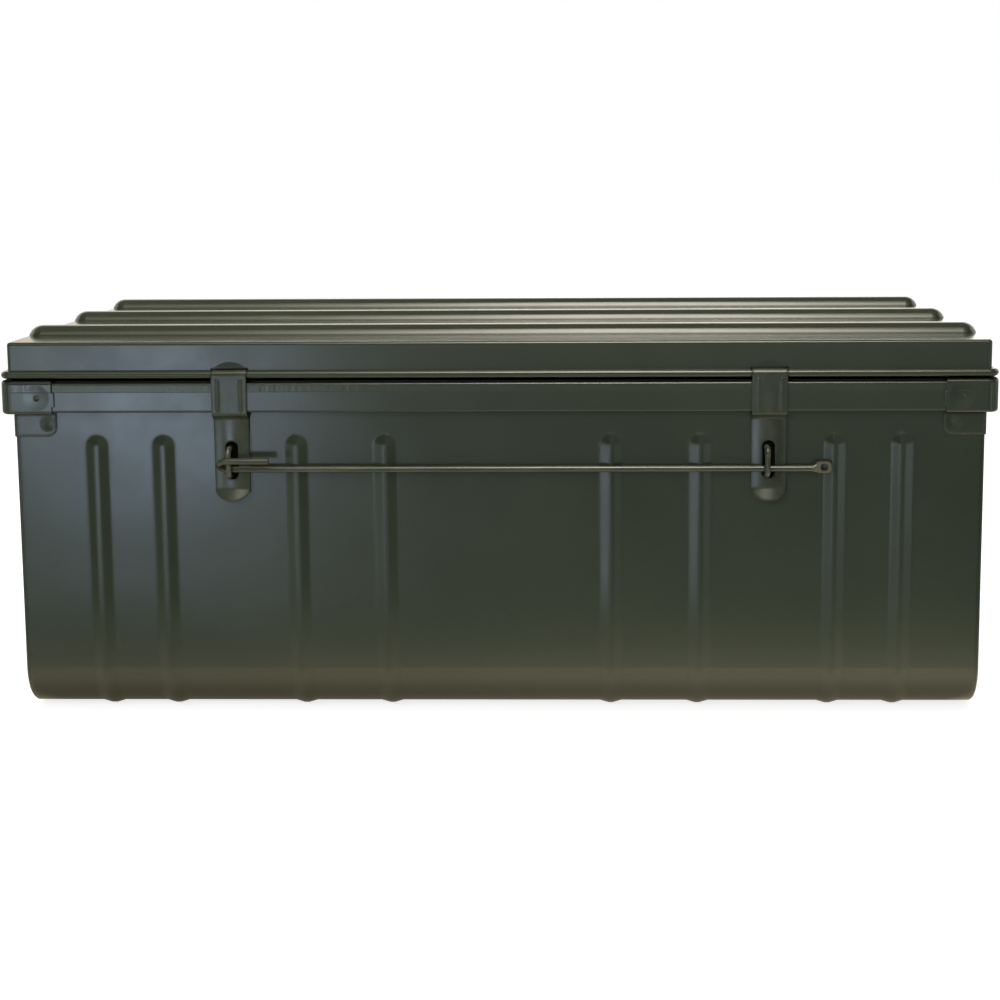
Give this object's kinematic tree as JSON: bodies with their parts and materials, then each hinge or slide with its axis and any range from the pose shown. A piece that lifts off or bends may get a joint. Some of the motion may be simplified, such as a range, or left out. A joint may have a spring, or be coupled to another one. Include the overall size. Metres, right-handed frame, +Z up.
{
  "type": "storage trunk",
  "caption": "Painted steel storage trunk with a ribbed lift-up lid, strap hasps over staples, a sliding locking rod with a padlock eye, and drop handles on its ends.",
  "frame": {"origin": "on the floor, in the middle of the footprint's bounding box", "axes": "+X to the right along the trunk's length, -Y out of the front with the hasps, +Z up"},
  "size_m": [1, 0.5142, 0.3957],
  "materials": {
    "body_paint": "satin dark olive paint",
    "lid_paint": "satin dark olive paint",
    "hardware_paint": "satin dark olive paint over steel strap and wire"
  },
  "bodies": {
    "trunk": {"body_wrap": "body_paint", "end_panel_left": "body_paint", "end_panel_right": "body_paint", "rim_front": "body_paint", "rim_rear": "body_paint", "rim_left": "body_paint", "rim_right": "body_paint", "corner_cap_front_left": "body_paint", "corner_cap_front_right": "body_paint", "corner_cap_rear_left": "body_paint", "corner_cap_rear_right": "body_paint", "corner_gusset_front_left": "body_paint", "corner_gusset_front_right": "body_paint", "corner_gusset_rear_left": "body_paint", "corner_gusset_rear_right": "body_paint", "hinge_strap_left": "hardware_paint", "hinge_strap_right": "hardware_paint", "staple_plate_left": "hardware_paint", "staple_plate_right": "hardware_paint", "staple_left": "hardware_paint", "staple_right": "hardware_paint", "handle_clip_front_left": "hardware_paint", "handle_clip_front_right": "hardware_paint", "handle_clip_rear_left": "hardware_paint", "handle_clip_rear_right": "hardware_paint"},
    "lid": {"lid_panel": "lid_paint", "lid_wire": "lid_paint"},
    "hasp_left": {"hasp_left": "hardware_paint"},
    "hasp_right": {"hasp_right": "hardware_paint"},
    "rod": {"locking_rod": "hardware_paint"},
    "handle_left": {"handle_bail_left": "hardware_paint"},
    "handle_right": {"handle_bail_right": "hardware_paint"}
  },
  "joints": [
    {"name": "lid_hinge", "type": "hinge", "parent": "trunk", "child": "lid", "pos_m": [0, 0.25262, 0.3524], "axis": [-1, 0, 0], "range_deg": [0, 150]},
    {"name": "hasp_hinge_left", "type": "hinge", "parent": "lid", "child": "hasp_left", "pos_m": [-0.2682, -0.23912, 0.3524], "axis": [-1, 0, 0], "range_deg": [0, 145]},
    {"name": "hasp_hinge_right", "type": "hinge", "parent": "lid", "child": "hasp_right", "pos_m": [0.2718, -0.23912, 0.3524], "axis": [-1, 0, 0], "range_deg": [0, 145]},
    {"name": "rod_slide", "type": "slide", "parent": "trunk", "child": "rod", "axis": [-1, 0, 0], "range_m": [0, 0.62]},
    {"name": "handle_hinge_left", "type": "hinge", "parent": "trunk", "child": "handle_left", "pos_m": [-0.4928, 0.00675, 0.262], "axis": [0, 1, 0], "range_deg": [0, 160]},
    {"name": "handle_hinge_right", "type": "hinge", "parent": "trunk", "child": "handle_right", "pos_m": [0.4928, 0.00675, 0.262], "axis": [0, -1, 0], "range_deg": [0, 160]}
  ]
}
